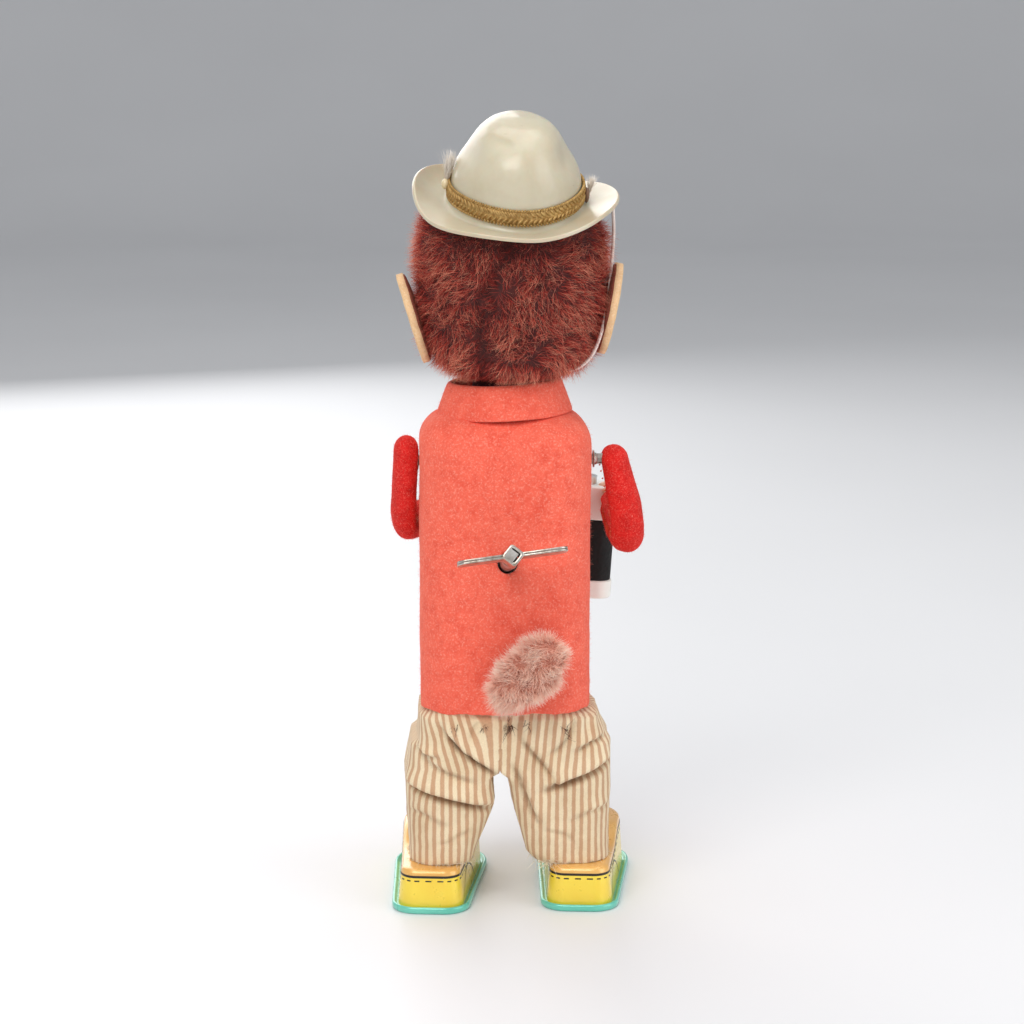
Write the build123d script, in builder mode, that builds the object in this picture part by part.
"""Clockwork dressed monkey that walks and lifts a camera, about 230 mm tall.

The face looks along -Y, the key sticks out of the back along +Y, and +Z is up. The origin is the bottom
centre of the whole toy's bounding box, on the surface that the shoes stand on. Millimetres throughout.
"""

import os

from build123d import *

# ---------------------------------------------------------------- driving dimensions

BODY_X = 3.5            # body axis from the centre of the bounding box
BODY_Y = 5.8

# torso
JACKET_WIDTH = 48.4
JACKET_DEPTH = 38.0
JACKET_CORNER = 14.0
JACKET_HEM = 59.0
JACKET_TOP = 146.6
SHOULDER_ROUND = 9.0
FELT = 2.0
TIN = 0.6
SHELL_GAP = 0.2         # play between the felt and the tin body
SHELL_BOTTOM = 59.0
AXLE_HOLE = 2.0         # radius of the clearance holes for the shoulder axle
KEY_HOLE = 2.8          # radius of the clearance hole for the winding arbor

# neck and head
HEAD_X = -2.0
HEAD_Z = 182.5
HEAD_STRAIGHT = 6.0     # height of the straight stretch of the head
FUR_RADIUS = 28.6
CORE_RADIUS = 24.2
CORE_WALL = 1.5
MASK_STAND = 2.2        # how far the face mask stands off the head shell
NECK_RADIUS = 4.0
NECK_BOTTOM = 141.0
NECK_TOP = 166.0
SOCKET_RADIUS = 8.0
SOCKET_BOTTOM = 155.5
SOCKET_TOP = 164.0
RUNNING = 0.06          # radial clearance of the running fits

# hat
HAT_X = -2.8
HAT_Y = 5.0
HAT_Z = 203.3
HAT_LEAN = 16.0         # degrees, backwards
HAT_ROLL = 2.0          # degrees, left side up
CROWN_HALF_WIDTH = 18.8
CROWN_HALF_LENGTH = 21.5
CROWN_HEIGHT = 27.0
CROWN_TAPER = 5.6
BRIM_HALF_WIDTH = 28.4
BRIM_HALF_LENGTH = 30.0
BRIM_CURL = 83.0        # radius to which the brim is rolled up at the sides
HAT_WALL = 1.2
BAND_HEIGHT = 5.2
BAND_THICK = 1.0
STRAP_RADIUS = 0.5

# arms and camera
SHOULDER_Z = 130.5
AXLE_RADIUS = 1.5
CAMERA_X = -10.6
CAMERA_Y = -37.6
CAMERA_WIDTH = 47.6
CAMERA_DEPTH = 12.6
CAMERA_BOTTOM = 82.6
CAMERA_BASE_HEIGHT = 5.6
CAMERA_BODY_HEIGHT = 18.8
CAMERA_TOP_HEIGHT = 10.4
CAMERA_ROLL = 4.0       # degrees, top towards the toy's right
LENS_RADIUS = 9.0
LENS_LENGTH = 9.0

# legs and shoes
HIP_Z = 64.0
HIP_SEAT_RADIUS = 22.0
HIP_GAP = 0.5
STRUT_X = 17.0
STRUT_WIDTH = 8.0
STRUT_THICK = 1.2
SHOE_X = 20.0
SHOE_Y = -3.0
SHOE_TURN = 6.0         # degrees, toes towards the toy's right
SOLE_HEIGHT = 2.4
HEEL_TOP = 12.0
TOE_TOP = 16.0
TROUSER_HEM = 12.6
HEM_DEPTH = 25.0
THIGH_Z = 52.0          # level at which the legs are widest
THIGH_DEPTH = 36.0
COTTON = 1.6            # wall of the trouser legs, which stands for bunched cloth

# motor, in the tilted frame of the winding key
KEY_Z = 104.1           # height at which the key shaft leaves the jacket
KEY_LEAN = 18.0         # degrees, upwards
MOTOR_DEPTH = 10.0      # from the jacket's back to the motor's back plate, along the shaft
PLATE_THICK = 0.8
PLATE_GAP = 13.5
PLATE_HALF_WIDTH = 15.0
PLATE_LOW = -15.0
PLATE_HIGH = 26.5
MODULE = 0.7
GREAT_TEETH = 36
PINION_TEETH = 9
SECOND_TEETH = 24
ARBOR_RADIUS = 1.5
PIVOT_RADIUS = 0.9

# ---------------------------------------------------------------- frames on the body axis


def level(height):
    """Horizontal plane at a height, centred on the body axis."""
    return Plane(origin=(BODY_X, BODY_Y, height))


def side(x):
    """Upright plane facing +X: sketch x is Y, sketch y is the height."""
    return Plane(origin=(BODY_X + x, BODY_Y, 0), x_dir=(0, 1, 0), z_dir=(1, 0, 0))


def front(y):
    """Upright plane facing the front: sketch x is X, sketch y is the height."""
    return Plane(origin=(BODY_X, BODY_Y + y, 0), x_dir=(1, 0, 0), z_dir=(0, -1, 0))


def spot(x, y, z):
    """A point given from the body axis."""
    return Vector(BODY_X + x, BODY_Y + y, z)


key_axis = Vector(0, 1, 0).rotate(Axis.X, KEY_LEAN)
key_mouth = spot(0, JACKET_DEPTH / 2, KEY_Z)
motor = Plane(origin=key_mouth - key_axis * MOTOR_DEPTH, x_dir=(-1, 0, 0), z_dir=key_axis)

hat_plane = Plane(origin=spot(HAT_X, HAT_Y, HAT_Z)).rotated((-HAT_LEAN, -HAT_ROLL, 0))

os.makedirs("parts", exist_ok=True)


def save(part, name):
    """Label a finished piece and write it."""
    part.label = name
    export_step(part, f"parts/{name}.step")


# ---------------------------------------------------------------- tin body

shell_width = JACKET_WIDTH - 2 * (FELT + SHELL_GAP)
shell_depth = JACKET_DEPTH - 2 * (FELT + SHELL_GAP)
shell_corner = JACKET_CORNER - FELT - SHELL_GAP
shell_top = JACKET_TOP - FELT - SHELL_GAP


def torso_form(width, depth, corner, bottom, top, rounding):
    """The torso's rounded column, solid."""
    with BuildPart() as form:
        with BuildSketch(level(bottom)):
            RectangleRounded(width, depth, corner)
        extrude(amount=top - bottom)
        fillet(form.faces().sort_by(Axis.Z)[-1].edges(), rounding)
    return form.part


def through_holes():
    """Cutters for the key shaft, the shoulder axle, the hip axle and the neck."""
    with BuildPart() as cutters:
        with BuildSketch(motor):
            Circle(KEY_HOLE)
        extrude(amount=MOTOR_DEPTH + 10)
        with BuildSketch(side(-40)):
            with Locations((0, SHOULDER_Z)):
                Circle(AXLE_HOLE)
        extrude(amount=80)
        with BuildSketch(level(NECK_BOTTOM)):
            Circle(NECK_RADIUS + 0.3)
        extrude(amount=10)
    return cutters.part


outer_form = torso_form(shell_width, shell_depth, shell_corner, SHELL_BOTTOM, shell_top, SHOULDER_ROUND - FELT)
inner_form = torso_form(
    shell_width - 2 * TIN, shell_depth - 2 * TIN, shell_corner - TIN, SHELL_BOTTOM - 1, shell_top - TIN,
    SHOULDER_ROUND - FELT - TIN,
)
holes = through_holes()

for shell_name, kept_side in (("body_front_shell", Keep.TOP), ("body_back_shell", Keep.BOTTOM)):
    with BuildPart() as body_shell:
        add(outer_form)
        add(inner_form, mode=Mode.SUBTRACT)
        add(holes, mode=Mode.SUBTRACT)
        split(bisect_by=front(0), keep=kept_side)
    save(body_shell.part, shell_name)

# ---------------------------------------------------------------- jacket, collar and buttons

jacket_outer = torso_form(JACKET_WIDTH, JACKET_DEPTH, JACKET_CORNER, JACKET_HEM, JACKET_TOP, SHOULDER_ROUND)
jacket_inner = torso_form(
    JACKET_WIDTH - 2 * FELT, JACKET_DEPTH - 2 * FELT, JACKET_CORNER - FELT, JACKET_HEM - 1, JACKET_TOP - FELT,
    SHOULDER_ROUND - FELT,
)
with BuildPart() as jacket:
    add(jacket_outer)
    add(jacket_inner, mode=Mode.SUBTRACT)
    add(holes, mode=Mode.SUBTRACT)
save(jacket.part, "jacket")

COLLAR_BOTTOM = JACKET_TOP + 0.1
COLLAR_TOP = 156.4
with BuildPart() as jacket_collar:
    with BuildSketch(level(COLLAR_BOTTOM)):
        Ellipse(19.4, 17.6)
    with BuildSketch(level(COLLAR_TOP)):
        Ellipse(17.2, 16.0)
    loft()
    with BuildSketch(level(COLLAR_BOTTOM)):
        Ellipse(17.2, 15.4)
    with BuildSketch(level(COLLAR_TOP)):
        Ellipse(15.2, 14.0)
    loft(mode=Mode.SUBTRACT)
    with BuildSketch(front(0)):
        with Locations((0, COLLAR_TOP)):
            Triangle(a=8, b=22, c=22, rotation=180)
    extrude(amount=30, mode=Mode.SUBTRACT)
save(jacket_collar.part, "jacket_collar")

BUTTON_HEIGHTS = (92.0, 116.0)
with BuildPart() as jacket_buttons:
    with BuildSketch(front(-JACKET_DEPTH / 2)):
        with Locations(*[(1.5, height) for height in BUTTON_HEIGHTS]):
            Circle(2.6)
    extrude(amount=1.4)
    fillet(jacket_buttons.faces().sort_by(Axis.Y)[:2].edges(), 0.5)
save(jacket_buttons.part, "jacket_buttons")

# ---------------------------------------------------------------- shared shapes


def ball(x, y, z, radius):
    """A sphere placed from the body axis."""
    with BuildPart() as form:
        with Locations(spot(x, y, z)):
            Sphere(radius)
    return form.part


def spindle(start, end, radius):
    """An ellipsoid of revolution that reaches from one point to another."""
    along = end - start
    across = along.cross(Vector(0, 1, 0)).normalized()
    plane = Plane(origin=(start + end) / 2, x_dir=along.cross(across), z_dir=across)
    with BuildPart() as form:
        with BuildSketch(plane):
            Ellipse(radius, along.length / 2)
            Rectangle(radius, along.length, align=(Align.MAX, Align.CENTER), mode=Mode.SUBTRACT)
        revolve(axis=Axis(plane.origin, along))
    return form.part


# ---------------------------------------------------------------- tail

with BuildPart() as tail:
    add(spindle(spot(3.4, 26.2, 60.0), spot(-13.2, 29.0, 84.0), 7.0))
save(tail.part, "tail")

# ---------------------------------------------------------------- neck

with BuildPart() as neck_post:
    with BuildSketch(level(NECK_BOTTOM)):
        Circle(NECK_RADIUS)
    extrude(amount=NECK_TOP - NECK_BOTTOM)
    with BuildSketch(level(NECK_BOTTOM)):
        Circle(NECK_RADIUS + 4)
    extrude(amount=1.4)
    with BuildSketch(level(NECK_TOP - 1.2)):
        Circle(NECK_RADIUS + 2)
    extrude(amount=1.2)
save(neck_post.part, "neck_post")

with BuildPart() as neck_socket:
    with BuildSketch(level(SOCKET_BOTTOM)):
        Circle(SOCKET_RADIUS)
        Circle(NECK_RADIUS + RUNNING, mode=Mode.SUBTRACT)
    extrude(amount=SOCKET_TOP - SOCKET_BOTTOM)
save(neck_socket.part, "neck_socket")

# ---------------------------------------------------------------- head


def head_form(radius):
    """A ball with a short straight stretch in the middle, about the head's upright axis."""
    with BuildPart() as form:
        with BuildSketch(Plane(origin=spot(HEAD_X, 0, HEAD_Z))):
            Circle(radius)
        extrude(amount=HEAD_STRAIGHT)
        with Locations(spot(HEAD_X, 0, HEAD_Z), spot(HEAD_X, 0, HEAD_Z + HEAD_STRAIGHT)):
            Sphere(radius)
    return form.part


def neck_cutter(radius):
    """A bore for the neck through the underside of the head."""
    with BuildPart() as form:
        with BuildSketch(level(NECK_BOTTOM)):
            Circle(radius)
        extrude(amount=SOCKET_TOP + 4 - NECK_BOTTOM)
    return form.part


FACE_HALF_WIDTH = 17.5
FACE_HALF_HEIGHT = 19.5
FACE_Z = 178.5


def face_prism(inset):
    """An oval bar through the front of the head, where the mask shows."""
    with BuildPart() as form:
        with BuildSketch(front(8)):
            with Locations((HEAD_X, FACE_Z)):
                Ellipse(FACE_HALF_WIDTH - inset, FACE_HALF_HEIGHT - inset)
        extrude(amount=50)
    return form.part


MUZZLE_RADIUS = 12.5
MUZZLE_Y = -21.5
MUZZLE_Z = 169.8
EYE_RADIUS = 4.2
EYE_Y = -21.8
EYE_Z = 186.0
EYE_SPREAD = 7.4

head_core = head_form(CORE_RADIUS)
fur_form = head_form(FUR_RADIUS)
eye_balls = [ball(HEAD_X + sign * EYE_SPREAD, EYE_Y, EYE_Z, EYE_RADIUS) for sign in (-1, 1)]

with BuildPart() as above_hat_line:
    with BuildSketch(hat_plane.offset(-0.3)):
        Ellipse(BRIM_HALF_WIDTH + 8, BRIM_HALF_LENGTH + 8)
    extrude(amount=40)

with BuildPart() as head_shell:
    add(head_core)
    add(head_form(CORE_RADIUS - CORE_WALL), mode=Mode.SUBTRACT)
    add(neck_cutter(SOCKET_RADIUS), mode=Mode.SUBTRACT)
    add(above_hat_line.part, mode=Mode.SUBTRACT)
save(head_shell.part, "head_shell")

with BuildPart() as head_fur:
    add(fur_form)
    add(head_core, mode=Mode.SUBTRACT)
    add(neck_cutter(SOCKET_RADIUS + 1), mode=Mode.SUBTRACT)
    add(face_prism(0), mode=Mode.SUBTRACT)
    add(above_hat_line.part, mode=Mode.SUBTRACT)
save(head_fur.part, "head_fur")

with BuildPart() as face_mask:
    add(head_form(CORE_RADIUS + MASK_STAND))
    add(ball(HEAD_X, MUZZLE_Y, MUZZLE_Z, MUZZLE_RADIUS))
    add(face_prism(0.2), mode=Mode.INTERSECT)
    add(head_core, mode=Mode.SUBTRACT)
    add(neck_cutter(SOCKET_RADIUS + 1), mode=Mode.SUBTRACT)
    add(eye_balls, mode=Mode.SUBTRACT)
    add(above_hat_line.part, mode=Mode.SUBTRACT)
    split(bisect_by=front(-6), keep=Keep.TOP)
save(face_mask.part, "face_mask")

with BuildPart() as eyes:
    add(eye_balls)
    add(head_core, mode=Mode.SUBTRACT)
save(eyes.part, "eyes")

EAR_HALF_HEIGHT = 13.4
EAR_HALF_LENGTH = 10.2
EAR_THICK = 2.6
EAR_SPREAD = 28.6
EAR_Y = 2.8
for ear_name, sign, ear_z, flare in (("ear_left", 1, 172.0, 17.0), ("ear_right", -1, 174.4, 11.5)):
    ear_normal = Vector(1, 0, 0).rotate(Axis.Y, sign * flare)
    ear_root = spot(HEAD_X + sign * EAR_SPREAD, EAR_Y, ear_z)
    ear_plane = Plane(origin=ear_root, x_dir=(0, 1, 0), z_dir=ear_normal)
    with BuildPart() as ear:
        with BuildSketch(ear_plane.offset(-EAR_THICK / 2)):
            Ellipse(EAR_HALF_LENGTH, EAR_HALF_HEIGHT)
        extrude(amount=EAR_THICK)
        add(fur_form, mode=Mode.SUBTRACT)
    save(ear.part, ear_name)

# ---------------------------------------------------------------- hat


def crown(shrink, height):
    """The crown's tapered oval, solid, smaller all round by a wall."""
    with BuildPart() as form:
        with BuildSketch(hat_plane):
            Ellipse(CROWN_HALF_WIDTH - shrink, CROWN_HALF_LENGTH - shrink)
        with BuildSketch(hat_plane.offset(height)):
            Ellipse(CROWN_HALF_WIDTH - CROWN_TAPER - shrink, CROWN_HALF_LENGTH - CROWN_TAPER - shrink)
        loft()
        top_face = form.faces().sort_by(Axis(hat_plane.origin, hat_plane.z_dir))[-1]
        fillet(top_face.edges(), 6.0 - shrink)
    return form.part


def rolled_sheet():
    """A sheet rolled up at both sides of the hat, wide enough for the brim."""
    across = Plane(origin=hat_plane.origin, x_dir=hat_plane.x_dir, z_dir=-hat_plane.y_dir)
    with BuildPart() as form:
        with BuildSketch(across.offset(-40)):
            with Locations((0, BRIM_CURL)):
                Circle(BRIM_CURL)
                Circle(BRIM_CURL - HAT_WALL, mode=Mode.SUBTRACT)
            Rectangle(80, 20, mode=Mode.INTERSECT)
        extrude(amount=80)
    return form.part


with BuildPart() as hat:
    with BuildSketch(hat_plane.offset(-4)):
        Ellipse(BRIM_HALF_WIDTH, BRIM_HALF_LENGTH)
    extrude(amount=20)
    add(rolled_sheet(), mode=Mode.INTERSECT)
    add(crown(0, CROWN_HEIGHT))
    add(crown(HAT_WALL, CROWN_HEIGHT - HAT_WALL), mode=Mode.SUBTRACT)
save(hat.part, "hat")

with BuildPart() as hat_band:
    with BuildSketch(hat_plane.offset(2.6)):
        Ellipse(CROWN_HALF_WIDTH + BAND_THICK, CROWN_HALF_LENGTH + BAND_THICK)
    extrude(amount=BAND_HEIGHT)
    add(crown(0, CROWN_HEIGHT), mode=Mode.SUBTRACT)
    add(rolled_sheet(), mode=Mode.SUBTRACT)
save(hat_band.part, "hat_band")


def tuft(lateral, forward, height, length, radius):
    """A fluff of feather standing by the crown, placed in the hat's own frame."""
    foot = hat_plane.from_local_coords(Vector(lateral, forward, height))
    tip = hat_plane.from_local_coords(Vector(lateral, forward, height + length))
    return spindle(foot, tip, radius)


save(tuft(22.6, -2.0, 5.2, 13.0, 2.2), "hat_feather")
save(tuft(-22.4, 1.0, 5.2, 6.5, 1.9), "hat_tuft")

strap_half = [(27.0, 3.4, 206.3), (29.6, -5.6, 186.0), (25.6, -13.4, 167.0), (12.5, -18.4, 156.0)]
strap_points = [spot(HEAD_X - x, y, z) for x, y, z in strap_half]
strap_points += [spot(HEAD_X + x, y, z) for x, y, z in reversed(strap_half)]
strap_bends = [30, 22, 11, 11, 22, 30]
with BuildPart() as hat_strap:
    with BuildLine() as strap_route:
        FilletPolyline(*strap_points, radius=strap_bends)
    with BuildSketch(Plane(origin=strap_route.line @ 0, z_dir=strap_route.line % 0)):
        Circle(STRAP_RADIUS)
    sweep(path=strap_route.wires()[0])
save(hat_strap.part, "hat_strap")
print("strap length", strap_route.wires()[0].length, "bend radii", strap_bends)

# ---------------------------------------------------------------- arms

AXLE_REACH = 31.0
with BuildPart() as shoulder_axle:
    with BuildSketch(side(-AXLE_REACH)):
        with Locations((0, SHOULDER_Z)):
            Circle(AXLE_RADIUS)
    extrude(amount=AXLE_REACH + 28.6)
save(shoulder_axle.part, "shoulder_axle")

LEVER_X = 17.0
LEVER_LENGTH = 12.0
LEVER_WIDTH = 5.8
with BuildPart() as arm_lever:
    with BuildSketch(side(LEVER_X)):
        with Locations((0, SHOULDER_Z - LEVER_LENGTH / 2)):
            SlotCenterToCenter(LEVER_LENGTH, LEVER_WIDTH, rotation=90)
        with Locations((0, SHOULDER_Z)):
            Circle(AXLE_RADIUS, mode=Mode.SUBTRACT)
        with Locations((0, SHOULDER_Z - LEVER_LENGTH)):
            Circle(1.0, mode=Mode.SUBTRACT)
    extrude(amount=1.2)
save(arm_lever.part, "arm_lever")

camera_plane = Plane(origin=spot(CAMERA_X, CAMERA_Y, CAMERA_BOTTOM)).rotated((0, -CAMERA_ROLL, 0))
with BuildPart() as camera_envelope:
    with BuildSketch(camera_plane.offset(-2)):
        RectangleRounded(CAMERA_WIDTH + 0.2, CAMERA_DEPTH + 0.2, 5)
    extrude(amount=CAMERA_BASE_HEIGHT + CAMERA_BODY_HEIGHT + CAMERA_TOP_HEIGHT + 8)


def arm_tube(route_points, half_width, half_depth):
    """A flattened tube that follows an arm's bent centre line."""
    with BuildPart() as form:
        with BuildLine() as route:
            FilletPolyline(*route_points, radius=7.5)
        start = Plane(origin=route.line @ 0, x_dir=(1, 0, 0), z_dir=route.line % 0)
        with BuildSketch(start):
            Ellipse(half_width, half_depth)
        sweep(path=route.wires()[0])
    return form.part


arms = (
    ("left", (28.3, 0, 130.5), (29.0, -7.0, 110.2), (23.4, -28.0, 108.0), 3.7, 5.4, (18.5, -33.4, 108.0)),
    ("right", (-30.4, 0, 130.5), (-33.7, -3.6, 107.4), (-34.6, -27.0, 111.6), 5.1, 5.6, (-36.0, -33.2, 112.6)),
)
for arm_name, shoulder, elbow, wrist, half_width, half_depth, palm in arms:
    shoulder_point = spot(*shoulder)
    elbow_point = spot(*elbow)
    wrist_point = spot(*wrist)
    upper = (shoulder_point - elbow_point).normalized()
    forearm = (wrist_point - elbow_point).normalized()
    cuff_route = (shoulder_point + upper * 4.8, elbow_point, wrist_point)
    bore_route = (shoulder_point + upper * 2.6, elbow_point, wrist_point + forearm)
    strip_route = (shoulder_point + upper * 2.4, elbow_point, wrist_point)
    with BuildPart() as sleeve:
        add(arm_tube(cuff_route, half_width, half_depth))
        top_edge = sleeve.faces().sort_by(Axis.Z)[-1].edges()
        fillet(top_edge, 2.2)
        add(arm_tube(bore_route, 1.9, 3.4), mode=Mode.SUBTRACT)
        add(shoulder_axle.part, mode=Mode.SUBTRACT)
    save(sleeve.part, f"sleeve_{arm_name}")
    with BuildPart() as arm_strip:
        add(arm_tube(strip_route, 0.6, 2.9))
        add(shoulder_axle.part, mode=Mode.SUBTRACT)
    save(arm_strip.part, f"arm_strip_{arm_name}")
    with BuildPart() as hand:
        with Locations(spot(*palm)):
            Box(9.6, 11.6, 9.4)
        fillet(hand.edges(), 2.8)
        add(camera_envelope.part, mode=Mode.SUBTRACT)
        add(sleeve.part, mode=Mode.SUBTRACT)
        add(arm_strip.part, mode=Mode.SUBTRACT)
    save(hand.part, f"hand_{arm_name}")

# ---------------------------------------------------------------- camera

camera_layers = (
    ("camera_bottom_plate", 0, CAMERA_BASE_HEIGHT, 0),
    ("camera_body", CAMERA_BASE_HEIGHT, CAMERA_BODY_HEIGHT, 0.5),
    ("camera_top_plate", CAMERA_BASE_HEIGHT + CAMERA_BODY_HEIGHT, CAMERA_TOP_HEIGHT, 0),
)
for layer_name, layer_start, layer_height, inset in camera_layers:
    with BuildPart() as camera_layer:
        with BuildSketch(camera_plane.offset(layer_start)):
            RectangleRounded(CAMERA_WIDTH - 2 * inset, CAMERA_DEPTH - 2 * inset, 5 - inset)
        extrude(amount=layer_height)
    save(camera_layer.part, layer_name)

lens_centre = camera_plane.from_local_coords(Vector(2.0, -CAMERA_DEPTH / 2, CAMERA_BASE_HEIGHT + 10.2))
lens_plane = Plane(origin=lens_centre, x_dir=camera_plane.x_dir, z_dir=-camera_plane.y_dir)
LENS_BORE = 5.6
with BuildPart() as camera_lens_barrel:
    with BuildSketch(lens_plane):
        Circle(LENS_RADIUS)
    extrude(amount=LENS_LENGTH * 0.45)
    with BuildSketch(lens_plane):
        Circle(LENS_RADIUS - 1.4)
    extrude(amount=LENS_LENGTH)
    with BuildSketch(lens_plane.offset(2)):
        Circle(LENS_BORE)
    extrude(amount=LENS_LENGTH, mode=Mode.SUBTRACT)
save(camera_lens_barrel.part, "camera_lens_barrel")

with BuildPart() as camera_lens_glass:
    with BuildSketch(lens_plane.offset(2)):
        Circle(LENS_BORE - 0.02)
    extrude(amount=3.4)
    fillet(camera_lens_glass.faces().sort_by(Axis.Y)[0].edges(), 1.6)
save(camera_lens_glass.part, "camera_lens_glass")

camera_top = camera_plane.offset(CAMERA_BASE_HEIGHT + CAMERA_BODY_HEIGHT + CAMERA_TOP_HEIGHT)
with BuildPart() as camera_knobs:
    with BuildSketch(camera_top):
        with Locations((-13.5, 0)):
            Circle(3.6)
        with Locations((17.0, 0)):
            Circle(3.4)
    extrude(amount=2.4)
    with BuildSketch(camera_top):
        with Locations((-6.0, -1.0)):
            Circle(1.6)
    extrude(amount=1.6)
save(camera_knobs.part, "camera_knobs")

with BuildPart() as camera_viewfinder:
    with BuildSketch(lens_plane):
        with Locations((-9.0, 14.2)):
            RectangleRounded(8.4, 4.6, 0.8)
        with Locations((8.0, 14.2)):
            RectangleRounded(4.0, 3.6, 0.8)
    extrude(amount=0.8)
save(camera_viewfinder.part, "camera_viewfinder")

# ---------------------------------------------------------------- trousers

HIP_AXLE_REACH = 21.0
with BuildPart() as hip_axle:
    with BuildSketch(side(-HIP_AXLE_REACH)):
        with Locations((0, HIP_Z)):
            Circle(AXLE_RADIUS)
    extrude(amount=2 * HIP_AXLE_REACH)
save(hip_axle.part, "hip_axle")


def hip_drum(radius):
    """A round bar about the hip axle, for the sliding joint between seat and legs."""
    with BuildPart() as form:
        with BuildSketch(side(-40)):
            with Locations((0, HIP_Z)):
                Circle(radius)
        extrude(amount=80)
    return form.part


SEAT_TOP = JACKET_HEM - 0.1
with BuildPart() as trouser_seat:
    with BuildSketch(level(SEAT_TOP)):
        with Locations((-0.8, 0)):
            RectangleRounded(52.8, 37.4, 13)
    extrude(amount=-20)
    add(hip_drum(HIP_SEAT_RADIUS), mode=Mode.INTERSECT)
    with BuildSketch(level(SEAT_TOP)):
        with Locations((STRUT_X, 0), (-STRUT_X, 0)):
            Rectangle(STRUT_THICK + 2.4, STRUT_WIDTH + 8)
    extrude(amount=-20, mode=Mode.SUBTRACT)
save(trouser_seat.part, "trouser_seat")

legs = (
    ("left", STRUT_X, 20.5, 19.2, 18.6, 2.5, 28.0),
    ("right", -STRUT_X, -23.1, -19.2, 22.2, 1.0, -30.0),
)


def sole_outline(inset):
    """The shoe's plan: broad round heel, wider round toe."""
    with BuildSketch() as outline:
        with Locations((-4.0, 16.0), (4.0, 16.0)):
            Circle(7.5 - inset)
        with Locations((0, -19.6)):
            Circle(14.0 - inset)
        make_hull()
    return outline.sketch


def leg_form(hem_x, hem_width, inner_x, outer_x, wall):
    """A trouser leg from the hem up past the hip drum, smaller all round by a wall."""
    with BuildPart() as form:
        with BuildSketch(level(TROUSER_HEM)):
            with Locations((hem_x, 1.0)):
                RectangleRounded(hem_width - 2 * wall, HEM_DEPTH - 2 * wall, 7 - wall)
        with BuildSketch(level(THIGH_Z)):
            with Locations(((inner_x + outer_x) / 2, 0)):
                RectangleRounded(abs(outer_x - inner_x) - 2 * wall, THIGH_DEPTH - 2 * wall, 9 - wall)
        loft()
    return form.part


for leg_name, strut_x, shoe_x, hem_x, hem_width, inner_x, outer_x in legs:
    with BuildPart() as trouser_leg:
        add(leg_form(hem_x, hem_width, inner_x, outer_x, 0))
        add(leg_form(hem_x, hem_width, inner_x, outer_x, COTTON), mode=Mode.SUBTRACT)
        add(hip_drum(HIP_SEAT_RADIUS + HIP_GAP), mode=Mode.SUBTRACT)
    save(trouser_leg.part, f"trouser_leg_{leg_name}")

    with BuildPart() as leg_strut:
        with BuildSketch(side(strut_x - STRUT_THICK / 2)):
            with Locations((0, (HIP_Z + 8 + SOLE_HEIGHT) / 2)):
                Rectangle(STRUT_WIDTH, HIP_Z + 8 - SOLE_HEIGHT)
            with Locations((0, HIP_Z)):
                Circle(AXLE_RADIUS + RUNNING, mode=Mode.SUBTRACT)
        extrude(amount=STRUT_THICK)
    save(leg_strut.part, f"leg_strut_{leg_name}")

    shoe_level = Plane(origin=spot(shoe_x, SHOE_Y, 0)).rotated((0, 0, -SHOE_TURN))
    with BuildPart() as shoe_sole:
        with BuildSketch(shoe_level):
            add(sole_outline(0))
        extrude(amount=SOLE_HEIGHT)
        with BuildSketch(shoe_level.offset(1.0)):
            add(sole_outline(0.9))
        extrude(amount=SOLE_HEIGHT, mode=Mode.SUBTRACT)
    save(shoe_sole.part, f"shoe_sole_{leg_name}")

    with BuildPart() as toe_cap:
        with BuildSketch(shoe_level.offset(1.0)):
            with Locations((0, -19.6)):
                Circle(11.3)
        extrude(amount=TOE_TOP - 1.0)
        fillet(toe_cap.faces().sort_by(Axis.Z)[-1].edges(), 4.5)

    with BuildPart() as shoe_upper:
        with BuildSketch(shoe_level.offset(1.0)):
            add(sole_outline(1.8))
        extrude(amount=HEEL_TOP - 1.0, taper=5)
        add(toe_cap.part)
        with BuildSketch(shoe_level.offset(1.0)):
            add(sole_outline(1.8 + TIN))
        extrude(amount=HEEL_TOP - 1.0 - TIN, taper=5, mode=Mode.SUBTRACT)
        with BuildSketch(level(6)):
            with Locations((strut_x, 0)):
                Rectangle(STRUT_THICK + 0.4, STRUT_WIDTH + 0.4)
        extrude(amount=12, mode=Mode.SUBTRACT)
    save(shoe_upper.part, f"shoe_upper_{leg_name}")

# ---------------------------------------------------------------- clockwork motor


def upright(distance, angle):
    """A point of the motor frame in polar form."""
    return Vector(distance, 0, 0).rotate(Axis.Z, angle)


PITCH_GREAT = MODULE * GREAT_TEETH / 2
PITCH_PINION = MODULE * PINION_TEETH / 2
PITCH_SECOND = MODULE * SECOND_TEETH / 2
second_at = upright(PITCH_GREAT + PITCH_PINION, 120)
governor_at = second_at + upright(PITCH_SECOND + PITCH_PINION, 10)

GOVERNOR_TURN = -10 / 3  # sets the governor's pinion into the gaps of the second wheel
TOOTH_ADDENDUM = 0.9 * MODULE
TOOTH_DEDENDUM = 1.25 * MODULE
TOOTH_ROOT = 1.25
TOOTH_TIP = 0.5


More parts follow.
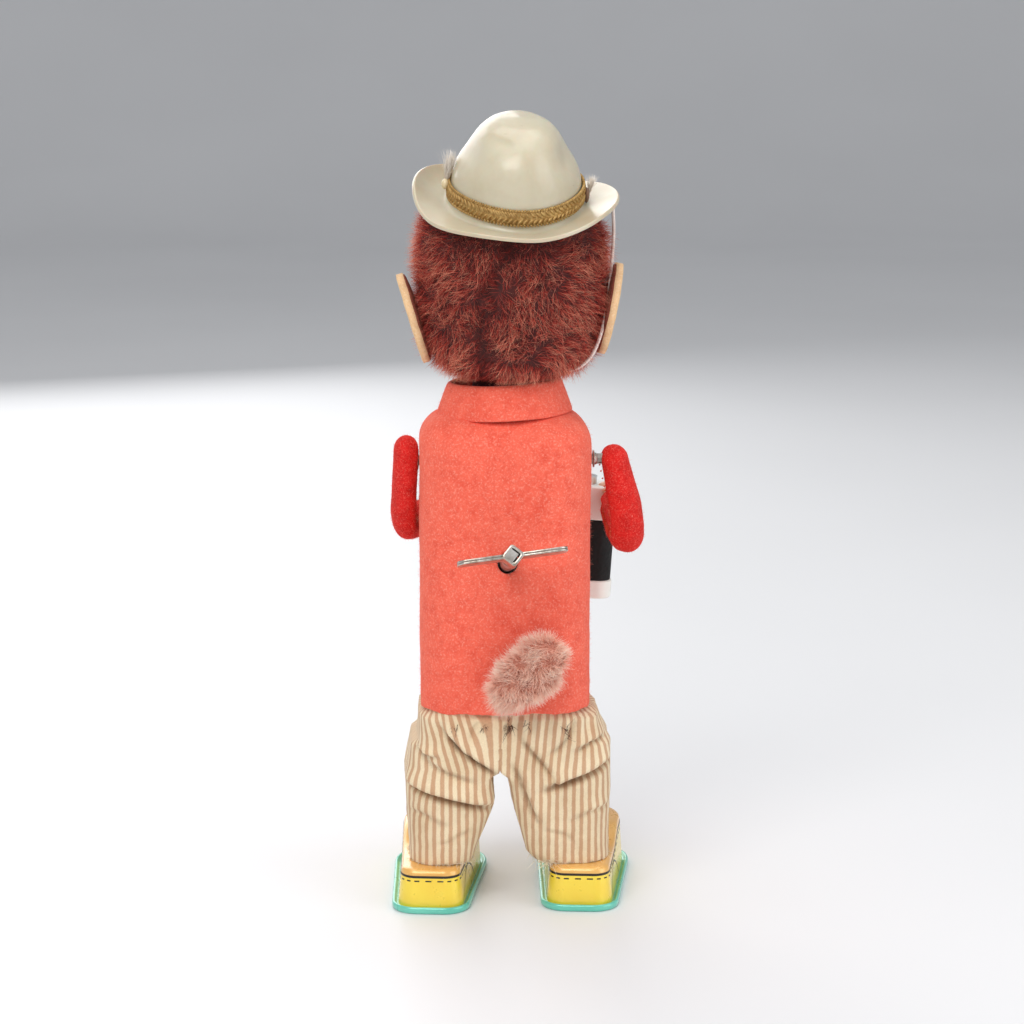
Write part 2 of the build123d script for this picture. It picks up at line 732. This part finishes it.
def gear(centre, low, high, teeth, turn):
    """A spur gear of slim straight-sided teeth, between two levels of the motor frame."""
    pitch_radius = MODULE * teeth / 2
    root = pitch_radius - TOOTH_DEDENDUM
    tip = pitch_radius + TOOTH_ADDENDUM
    with BuildPart() as wheel:
        with BuildSketch(motor.offset(low)):
            with Locations((centre.X, centre.Y)):
                Circle(root)
                with PolarLocations(0, teeth, start_angle=turn):
                    Polygon(
                        (root - 0.3, -TOOTH_ROOT / 2),
                        (tip, -TOOTH_TIP / 2),
                        (tip, TOOTH_TIP / 2),
                        (root - 0.3, TOOTH_ROOT / 2),
                        align=None,
                    )
        extrude(amount=high - low)
    return wheel.part


def rod(centre, low, high, radius):
    """A round rod along the motor frame's axis."""
    with BuildPart() as form:
        with BuildSketch(motor.offset(low)):
            with Locations((centre.X, centre.Y)):
                Circle(radius)
        extrude(amount=high - low)
    return form.part


arbor_at = Vector(0, 0, 0)
PILLARS = [(sign * 12.8, height) for sign in (-1, 1) for height in (PLATE_LOW + 2.4, PLATE_HIGH - 2.4)]
for plate_name, plate_low in (("motor_back_plate", 0), ("motor_front_plate", -PLATE_GAP - PLATE_THICK)):
    with BuildPart() as plate:
        with BuildSketch(motor.offset(plate_low)):
            with Locations((0, (PLATE_LOW + PLATE_HIGH) / 2)):
                RectangleRounded(2 * PLATE_HALF_WIDTH, PLATE_HIGH - PLATE_LOW, 2)
            Circle(ARBOR_RADIUS + RUNNING, mode=Mode.SUBTRACT)
            with Locations((second_at.X, second_at.Y), (governor_at.X, governor_at.Y)):
                Circle(PIVOT_RADIUS + RUNNING, mode=Mode.SUBTRACT)
        extrude(amount=PLATE_THICK)
    save(plate.part, plate_name)

with BuildPart() as motor_pillars:
    with BuildSketch(motor.offset(-PLATE_GAP)):
        with Locations(*PILLARS):
            Circle(1.2)
    extrude(amount=PLATE_GAP)
save(motor_pillars.part, "motor_pillars")

SPRING_PITCH = 1.3
SPRING_INNER = 3.2
HALF_TURNS = 11
with BuildPart() as mainspring:
    with BuildSketch(motor.offset(-11.0)):
        with BuildLine() as coil:
            for half_turn in range(HALF_TURNS):
                lopsided = half_turn % 2
                CenterArc(
                    (lopsided * SPRING_PITCH / 2, 0), SPRING_INNER + half_turn * SPRING_PITCH / 2,
                    start_angle=180 * lopsided, arc_size=180,
                )
        trace(line_width=0.5)
    extrude(amount=5.0)
save(mainspring.part, "mainspring")

KEY_REACH = 22.0        # hub's end from the jacket, along the shaft
HUB_LENGTH = 10.0
HUB_SIDE = 4.6
SQUARE_SIDE = 2.8
KEY_BORE = 2.9
WING_THICK = 1.4
WING_SPAN = 31.0
WING_DEPTH = 9.0
KEY_TURN = 6.4          # resting angle of the wings
shaft_end = MOTOR_DEPTH + KEY_REACH
hub_start = shaft_end - HUB_LENGTH

with BuildPart() as winding_arbor:
    add(rod(arbor_at, -PLATE_GAP - PLATE_THICK - 0.6, 1.4, ARBOR_RADIUS))
    add(rod(arbor_at, 1.4, hub_start - 0.1, 2.2))
    with BuildSketch(motor.offset(hub_start - 0.1)):
        Rectangle(SQUARE_SIDE, SQUARE_SIDE, rotation=45 + KEY_TURN)
    extrude(amount=HUB_LENGTH + 0.1)
save(winding_arbor.part, "winding_arbor")

with BuildPart() as key:
    with BuildSketch(motor.offset(hub_start)):
        Rectangle(HUB_SIDE, HUB_SIDE, rotation=45 + KEY_TURN)
        Rectangle(KEY_BORE, KEY_BORE, rotation=45 + KEY_TURN, mode=Mode.SUBTRACT)
    extrude(amount=HUB_LENGTH)
    wing_level = motor.offset(hub_start + (HUB_LENGTH - WING_DEPTH) / 2).rotated((0, 0, KEY_TURN))
    with BuildSketch(wing_level):
        Rectangle(WING_SPAN, WING_THICK)
        Rectangle(HUB_SIDE + 0.6, HUB_SIDE + 0.6, mode=Mode.SUBTRACT)
    extrude(amount=WING_DEPTH)
save(key.part, "key")

RATCHET_TEETH = 12
with BuildPart() as ratchet_wheel:
    with BuildSketch(motor.offset(-5.0)):
        Circle(3.6)
        with PolarLocations(0, RATCHET_TEETH):
            Polygon((3.3, -0.2), (4.6, -0.2), (3.5, 0.9), (3.3, 0.9), align=None)
        Circle(ARBOR_RADIUS, mode=Mode.SUBTRACT)
    extrude(amount=1.2)
save(ratchet_wheel.part, "ratchet_wheel")

with BuildPart() as great_wheel:
    add(gear(arbor_at, -3.4, -2.2, GREAT_TEETH, 0))
    with BuildSketch(motor.offset(-3.4)):
        Circle(ARBOR_RADIUS + RUNNING)
        with PolarLocations(8.2, 4, start_angle=45):
            Circle(1.8)
    extrude(amount=1.2, mode=Mode.SUBTRACT)
save(great_wheel.part, "great_wheel")

with BuildPart() as click:
    with BuildSketch(motor.offset(-5.0)):
        with Locations((7.4, 3.0)):
            SlotCenterToCenter(4.0, 1.6, rotation=20)
    extrude(amount=1.2)
    with BuildSketch(motor.offset(-3.8)):
        with Locations((9.0, 3.6)):
            Circle(0.7)
    extrude(amount=0.4)
save(click.part, "click")

with BuildPart() as second_wheel:
    add(gear(second_at, -4.4, -1.6, PINION_TEETH, 0))
    add(gear(second_at, -12.6, -11.6, SECOND_TEETH, 0))
    add(rod(second_at, -PLATE_GAP + 0.3, -0.5, 1.4))
    add(rod(second_at, -18.0, 0.9, PIVOT_RADIUS))
    add(rod(second_at, -16.6, -15.4, 6.0))
    add(rod(second_at + Vector(4.4, 0, 0), -18.6, -16.6, 0.9))
save(second_wheel.part, "second_wheel")

with BuildPart() as governor:
    add(gear(governor_at, -12.9, -11.3, PINION_TEETH, GOVERNOR_TURN))
    add(rod(governor_at, -PLATE_GAP + 0.3, -0.5, 1.2))
    add(rod(governor_at, -PLATE_GAP - PLATE_THICK - 0.3, 0.9, PIVOT_RADIUS))
    add(rod(governor_at, -9.5, -5.0, 4.2))
save(governor.part, "governor")
